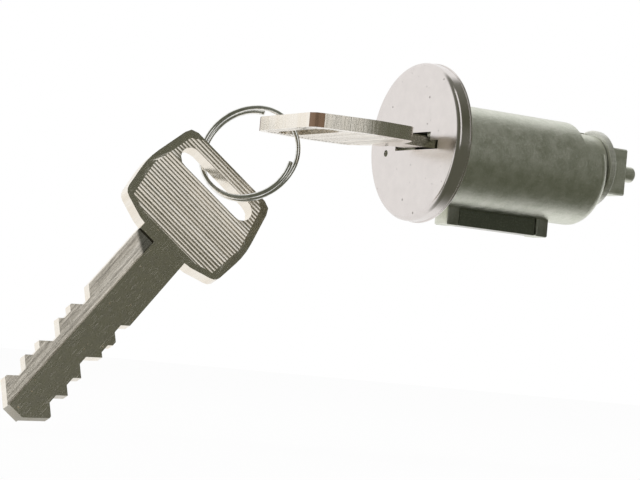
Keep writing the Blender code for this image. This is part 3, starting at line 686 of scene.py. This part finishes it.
def slot_outline(size):
    """The key slot in the face, with a notch at each end."""
    wide, high, reach = size.slot_width, size.slot_height, size.slot_reach
    return [
        (-wide, -high), (reach, -high), (reach, 0.0), (wide, 0.0),
        (wide, high), (-reach, high), (-reach, 0.0), (-wide, 0.0),
    ]


def make_face_cap(size, finish):
    """Pressed sheet: a flat face, a rolled edge, a straight band and a lip turned in behind."""
    front, roll, sheet, lip = -size.cap_depth, size.cap_roll, size.cap_sheet, size.cap_lip
    band = size.cap_radius - size.cap_flare
    inner = size.cap_radius - size.cap_lip_reach
    corner = (band - roll, front + roll)
    lip_edge = 0.0001
    rear = arc((size.cap_radius - lip_edge, -lip + lip_edge), lip_edge, -90, 0, 4)
    rear += arc((size.cap_radius - lip_edge, -lip_edge), lip_edge, 0, 90, 4)
    profile = [(0.0, front), *arc(corner, roll, -90, 0, 16), (band, -lip - size.cap_flare), *rear]
    profile += [(inner, 0.0), (inner, -lip), (band - sheet, -lip)]
    profile += [*arc(corner, roll - sheet, 0, -90, 6), (0.0, front + sheet)]
    cap = lathe("cap_shell", profile)
    deep = sheet + 0.001
    cut(cap, plate("cap_slot", slot_outline(size), front - deep, front + deep))
    x, z = -size.pinhole_x, -size.pinhole_z
    cut(cap, drill("release_hole", size.pinhole, (x, front - deep, z), (x, front + deep, z)))
    smooth(settle(cap), 28)
    coat(cap, satin_steel("satin_steel", finish.stainless, finish.cap_rough))
    seat(cap, "rotor", "face_cap")


def make_housing(size, finish):
    """The casting, with painted shade on the rail's sides, which makes them darker than its round body."""
    zinc = cast_metal("housing_zinc", finish.zinc, finish.zinc_shade, finish.cast_rough, 0.8)
    # Painted shade: the rail's sides take the zinc at about half its tone
    light, dark = shade(finish.zinc, 0.5), shade(finish.zinc_shade, 0.45)
    rail = cast_metal("rail_zinc_painted_shade", light, dark, finish.cast_rough, 0.8)
    housing = smooth(break_edges(from_solid("housing_casting", "housing"), size.cast_edge))
    coat(housing, zinc, rail)
    for face in housing.data.polygons:
        face.material_index = int(face.center.z < -size.rail_drop and abs(face.normal.x) > 0.5)
    seat(housing, "housing", "housing")


def make_retainer(size, finish):
    """The bar, with a painted reflection that makes it bright underneath, and its springs."""
    steel = ground_steel("bar_steel", finish.bar, 0.34)
    painted_underside_steel = ground_steel("bar_underside_painted_reflection", finish.bar_painted_reflection, 0.3)
    bar = smooth(break_edges(from_solid("retainer_steel", "retainer_bar"), size.bar_edge))
    coat(bar, steel, painted_underside_steel)
    # Faces that look down take the painted reflection
    for face in bar.data.polygons:
        face.material_index = int(face.normal.z < -0.3)
    seat(bar, "retainer_bar", "retainer_bar")
    wire = drawn_wire("bar_spring_steel", finish.spring, 0.2)
    for node in ("bar_spring_1", "bar_spring_2"):
        coil = coat(smooth(from_solid(node + "_wire", node), 60), wire)
        seat(coil, "housing", node)
        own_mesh(coil)


def make_rotor(size, finish):
    """The casting that turns, and the clip in its groove."""
    zinc = cast_metal("rotor_zinc", finish.zinc, finish.zinc_shade, finish.cast_rough + 0.04, 0.4)
    rotor = coat(smooth(from_solid("rotor_casting", "rotor")), zinc)
    seat(rotor, "rotor", "rotor")
    sheared = lined_metal(
        "clip_steel", None, finish.clip, finish.zinc, 0.42,
        pitch=3000.0, turn=ALONG_AXIS, depth=1.0, wear=0.1,
    )
    clip = smooth(break_edges(from_solid("clip_ring", "retaining_clip"), size.clip_edge, 60))
    seat(coat(clip, sheared), "rotor", "retaining_clip")


def make_wafers(finish):
    """Ten brass leaves and their springs."""
    worn = shade(finish.brass, 0.8)
    brass = lined_metal(
        "wafer_brass", None, finish.brass, worn, 0.3,
        pitch=3000.0, turn=ALONG, depth=0.3, wear=0.3,
    )
    steel = drawn_wire("spring_steel", finish.spring, 0.2)
    for i in range(1, WAFERS + 1):
        leaf = coat(smooth(from_solid(f"wafer_leaf_{i:02d}", f"wafer_{i:02d}")), brass)
        seat(leaf, "rotor", f"wafer_{i:02d}")
        spring = coat(smooth(from_solid(f"leaf_spring_{i:02d}", f"wafer_spring_{i:02d}"), 60), steel)
        seat(spring, "rotor", f"wafer_spring_{i:02d}")


def key_place(u, v, w, origin):
    """Where a key lies: the middle of its shoulder and its three directions."""
    place = Matrix((u, v, w)).transposed().to_4x4()
    place.translation = origin
    return place


def lock_key_place(size):
    """The key in the lock points along the axis, with its width level."""
    shoulder = Vector((0, -size.cap_depth - KEY_STANDOFF, 0))
    return key_place(Vector((0, 1, 0)), Vector((1, 0, 0)), Vector((0, 0, -1)), shoulder)


def spare_key_place(key):
    """The spare key hangs from the ring, where its solid does."""
    blade = SPARE_BLADE.normalized()
    face = (SPARE_FACE - SPARE_FACE.dot(blade) * blade).normalized()
    return key_place(blade, face.cross(blade), face, SPARE_SHOULDER - face * key.thickness / 2)


def mark_outline(mesh, edge_width):
    """Weight the edges between the faces and the tall sides, so that only they are broken."""
    work = bmesh.new()
    work.from_mesh(mesh)
    weight = work.edges.layers.float.new("bevel_weight_edge")
    for edge in work.edges:
        sides = [face for face in edge.link_faces if abs(face.normal.z) < 0.3]
        if len(sides) != 1 or len(edge.link_faces) != 2:
            continue
        heights = [vert.co.z for vert in sides[0].verts]
        if max(heights) - min(heights) > 10 * edge_width:
            edge[weight] = 1.0
    work.to_mesh(mesh)
    work.free()


# A key's finishes, in the order that key_finishes makes them
FACE, SERRATION, MILLED, SIDE, PAINTED_CORNER_REFLECTION = range(5)


def finish_of_face(face, thickness):
    """Which finish a face of a key takes, from where it lies and which way it looks."""
    flat = abs(face.normal.z)
    if flat < 0.5:
        # Side faces at the bow's corners that look back and aside take a painted dark reflection
        at_end = face.center.x < -BOW_CORNER_U and abs(face.center.y) > BOW_CORNER_V
        return PAINTED_CORNER_REFLECTION if at_end and -0.97 < face.normal.x < -0.3 else SIDE
    if face.center.x > 0 and abs(face.center.z) < thickness / 2 - MILLED_STEP:
        return MILLED
    if flat < 0.97 and face.center.x < 0:
        return SERRATION
    return FACE


def key_finishes(name, place, finish):
    """A key's own finishes, turned with it."""
    tone, worn, rough = finish.nickel, finish.worn, finish.key_rough
    # Tones of the painted dark reflection on the bow's corners
    corner_painted_reflection, corner_painted_reflection_dark = finish.corner, shade(finish.corner, 0.6)
    return [
        plated_face(name + "_face", place, tone, worn, rough),
        lined_metal(
            name + "_serration", place, tone, worn, rough + 0.04,
            pitch=4200.0, turn=ACROSS, depth=0.4, wear=0.15,
        ),
        milled_plate(name + "_milled", place, tone, worn, rough + 0.04),
        lined_metal(
            name + "_side", place, tone, worn, rough + 0.06,
            pitch=2400.0, turn=THROUGH, depth=0.8, wear=0.12, low=0.9,
        ),
        # A painted dark reflection on the bow's corner facets
        lined_metal(
            name + "_corner_painted_reflection", place, corner_painted_reflection, corner_painted_reflection_dark, rough,
            pitch=2400.0, turn=THROUGH, depth=0.3, wear=0.5,
        ),
    ]


def make_keys(size, key, finish):
    """Both keys, worked on in their own directions and then laid in place."""
    places = (("lock_key", "key", lock_key_place(size)), ("second_key", "spare_key", spare_key_place(key)))
    for name, node, place in places:
        obj = coat(from_solid(name, node), *key_finishes(name, place, finish))
        obj.data.transform(place.inverted())
        for face in obj.data.polygons:
            face.material_index = finish_of_face(face, key.thickness)
        mark_outline(obj.data, key.edge)
        break_edges(obj, key.edge, None)
        obj.data.transform(place)
        seat(smooth(obj, 30), node, node)


def ring_point(size, angle):
    """A point of the wire's middle, this many degrees from the wire's start."""
    single = 2 * 360 - RING_SWEEP
    crank = min(1.0, max(0.0, (angle - (360 - single)) / single))
    rise = size.ring_pitch * (crank * crank * (3 - 2 * crank) - 0.5)
    near_end = max(0.0, 1 - min(angle, RING_SWEEP - angle) / RING_END_SPAN)
    radius = size.ring_radius - size.ring_inset * near_end ** 2
    turn = math.radians(RING_START + angle)
    return Vector((radius * math.cos(turn), radius * math.sin(turn), rise))


def make_split_ring(size, finish):
    """Two turns of round wire, with their ends broken."""
    points = [ring_point(size, RING_SWEEP * i / RING_STEPS) for i in range(RING_STEPS + 1)]
    ring = tube("ring_wire", points, size.wire / 2)
    turn = RING_NORMAL.to_track_quat("Z", "Y").to_matrix().to_4x4()
    ring.data.transform(Matrix.Translation(RING_CENTRE) @ turn)
    smooth(break_edges(ring, RING_END_EDGE, 60))
    coat(ring, drawn_wire("ring_steel", finish.ring, 0.13))
    seat(ring, "split_ring", "split_ring")


# Stage

def white_to_camera(graph, level, finish):
    """The tent's tone at this level for reflections and light, and white for the camera."""
    shown = graph.blend(level, finish.dark, finish.light)
    path = graph.add("ShaderNodeLightPath").outputs
    return graph.blend(path["Is Camera Ray"], shown, (1.0, 1.0, 1.0)), path


def make_floor(finish):
    """A white floor. In reflections it is dark on the camera's side."""
    work = bmesh.new()
    bmesh.ops.create_grid(work, x_segments=1, y_segments=1, size=FLOOR_HALF)
    floor = to_object(work, "floor", Matrix.Translation((0, 0, cad_box[0][2] - FLOOR_GAP)))
    white = bpy.data.materials.new("floor_white")
    white.use_nodes = True
    graph = Graph(white.node_tree)
    cloth = white.node_tree.nodes["Principled BSDF"]
    cloth.inputs["Base Color"].default_value = (*finish.floor, 1.0)
    cloth.inputs["Roughness"].default_value = 0.9
    cloth.inputs["Specular IOR Level"].default_value = 0.0
    parts = graph.add("ShaderNodeSeparateXYZ")
    graph.join(graph.add("ShaderNodeTexCoord").outputs["Object"], parts.inputs[0])
    away = graph.math("MULTIPLY_ADD", parts.outputs["X"], FLOOR_FADE, FLOOR_FADE_START)
    tone, path = white_to_camera(graph, graph.ramp(away, *FLOOR_LEVELS), finish)
    glow = graph.add("ShaderNodeEmission")
    graph.join(tone, glow.inputs["Color"])
    seen = graph.math("MAXIMUM", path["Is Camera Ray"], path["Is Glossy Ray"])
    mix = graph.add("ShaderNodeMixShader")
    graph.join(graph.math("MULTIPLY", seen, FLOOR_GLOW), mix.inputs[0])
    graph.join(cloth.outputs[0], mix.inputs[1])
    graph.join(glow.outputs[0], mix.inputs[2])
    graph.join(mix.outputs[0], white.node_tree.nodes["Material Output"].inputs["Surface"])
    coat(floor, white)


def make_tent(finish):
    """White behind the lock, dark on the camera's side, with a bright panel right of the camera."""
    world = bpy.data.worlds.new("light_tent")
    bpy.context.scene.world = world
    world.use_nodes = True
    graph = Graph(world.node_tree)
    parts = graph.add("ShaderNodeSeparateXYZ")
    graph.join(graph.add("ShaderNodeTexCoord").outputs["Generated"], parts.inputs[0])
    side = graph.math("MULTIPLY_ADD", parts.outputs["X"], 0.5, 0.5)
    across = graph.math("MULTIPLY_ADD", parts.outputs["Y"], 0.5, 0.5)
    in_front = graph.math("GREATER_THAN", parts.outputs["X"], PANEL_FRONT)
    panel = graph.math("MULTIPLY", graph.ramp(across, *PANEL_LEVELS), in_front)
    level = graph.math("MAXIMUM", graph.ramp(side, *TENT_LEVELS), panel)
    tone, _ = white_to_camera(graph, level, finish)
    graph.join(tone, world.node_tree.nodes["Background"].inputs["Color"])


def place_lamp():
    """A soft lamp overhead, for the shadow on the floor."""
    light = bpy.data.lights.new("top_lamp", "AREA")
    light.size = LAMP_SIZE
    light.energy = LAMP_POWER
    lamp = new_object("top_lamp", light)
    lamp.location = LAMP_PLACE
    lamp.visible_glossy = False


def place_camera():
    """The picture's own view."""
    lens = bpy.data.cameras.new("camera")
    lens.lens = CAMERA_LENS
    lens.sensor_width = 36.0
    lens.clip_start = 0.01
    right = CAMERA_RIGHT.normalized()
    up = (CAMERA_UP - CAMERA_UP.dot(right) * right).normalized()
    place = Matrix((right, up, right.cross(up))).transposed().to_4x4()
    place.translation = CAMERA_PLACE
    bpy.context.scene.camera = new_object("camera", lens, place)


# Operators

class LOCK_OT_stage(bpy.types.Operator):
    """Set the floor, the light tent, the lamp and the camera"""

    bl_idname = "lock.stage"
    bl_label = "Stage"
    bl_options = {"REGISTER", "UNDO"}

    def execute(self, context):
        make_floor(context.scene.lock_finish)
        make_tent(context.scene.lock_finish)
        place_lamp()
        place_camera()
        return {"FINISHED"}


class LOCK_OT_housing(bpy.types.Operator):
    """Make the die-cast housing with its rail lugs and rear notch"""

    bl_idname = "lock.housing"
    bl_label = "Housing"
    bl_options = {"REGISTER", "UNDO"}

    def execute(self, context):
        make_housing(context.scene.lock_sizes, context.scene.lock_finish)
        return {"FINISHED"}


class LOCK_OT_retainer(bpy.types.Operator):
    """Make the sprung retainer bar and its springs"""

    bl_idname = "lock.retainer"
    bl_label = "Retainer bar"
    bl_options = {"REGISTER", "UNDO"}

    def execute(self, context):
        make_retainer(context.scene.lock_sizes, context.scene.lock_finish)
        return {"FINISHED"}


class LOCK_OT_rotor(bpy.types.Operator):
    """Make the rotor with its flat tail, and the clip that holds it in"""

    bl_idname = "lock.rotor"
    bl_label = "Rotor"
    bl_options = {"REGISTER", "UNDO"}

    def execute(self, context):
        make_rotor(context.scene.lock_sizes, context.scene.lock_finish)
        return {"FINISHED"}


class LOCK_OT_wafers(bpy.types.Operator):
    """Make the wafers and their springs inside the rotor"""

    bl_idname = "lock.wafers"
    bl_label = "Wafers"
    bl_options = {"REGISTER", "UNDO"}

    def execute(self, context):
        make_wafers(context.scene.lock_finish)
        return {"FINISHED"}


class LOCK_OT_face_cap(bpy.types.Operator):
    """Make the pressed face cap with its key slot and release hole"""

    bl_idname = "lock.face_cap"
    bl_label = "Face cap"
    bl_options = {"REGISTER", "UNDO"}

    def execute(self, context):
        make_face_cap(context.scene.lock_sizes, context.scene.lock_finish)
        return {"FINISHED"}


class LOCK_OT_keys(bpy.types.Operator):
    """Make the key in the lock and the spare key"""

    bl_idname = "lock.keys"
    bl_label = "Keys"
    bl_options = {"REGISTER", "UNDO"}

    def execute(self, context):
        scene = context.scene
        make_keys(scene.lock_sizes, scene.key_sizes, scene.lock_finish)
        return {"FINISHED"}


class LOCK_OT_split_ring(bpy.types.Operator):
    """Make the split ring's two turns of round wire"""

    bl_idname = "lock.split_ring"
    bl_label = "Split ring"
    bl_options = {"REGISTER", "UNDO"}

    def execute(self, context):
        make_split_ring(context.scene.lock_sizes, context.scene.lock_finish)
        return {"FINISHED"}


PIECES = (
    LOCK_OT_stage, LOCK_OT_housing, LOCK_OT_retainer, LOCK_OT_rotor,
    LOCK_OT_wafers, LOCK_OT_face_cap, LOCK_OT_keys, LOCK_OT_split_ring,
)


class LOCK_PT_panel(bpy.types.Panel):
    """The pieces of the lock, in the order they are made"""

    bl_idname = "LOCK_PT_panel"
    bl_label = "Ignition lock"
    bl_space_type = "VIEW_3D"
    bl_region_type = "UI"
    bl_category = "Lock"

    def draw(self, context):
        for piece in PIECES:
            self.layout.operator(piece.bl_idname)
        for name in ("lock_sizes", "key_sizes", "lock_finish"):
            group = getattr(context.scene, name)
            for field in type(group).__annotations__:
                self.layout.prop(group, field)


CLASSES = (LockSizes, KeySizes, LockFinish, *PIECES, LOCK_PT_panel)


def register():
    for cls in CLASSES:
        bpy.utils.register_class(cls)
    bpy.types.Scene.lock_sizes = PointerProperty(type=LockSizes)
    bpy.types.Scene.key_sizes = PointerProperty(type=KeySizes)
    bpy.types.Scene.lock_finish = PointerProperty(type=LockFinish)


def unregister():
    del bpy.types.Scene.lock_finish
    del bpy.types.Scene.key_sizes
    del bpy.types.Scene.lock_sizes
    for cls in reversed(CLASSES):
        bpy.utils.unregister_class(cls)


def main():
    register()
    bpy.context.scene.view_settings.view_transform = "Standard"
    bpy.ops.lock.stage()
    bpy.ops.lock.housing()
    bpy.ops.lock.retainer()
    bpy.ops.lock.rotor()
    bpy.ops.lock.wafers()
    bpy.ops.lock.face_cap()
    bpy.ops.lock.keys()
    bpy.ops.lock.split_ring()


if __name__ == "__main__":
    main()
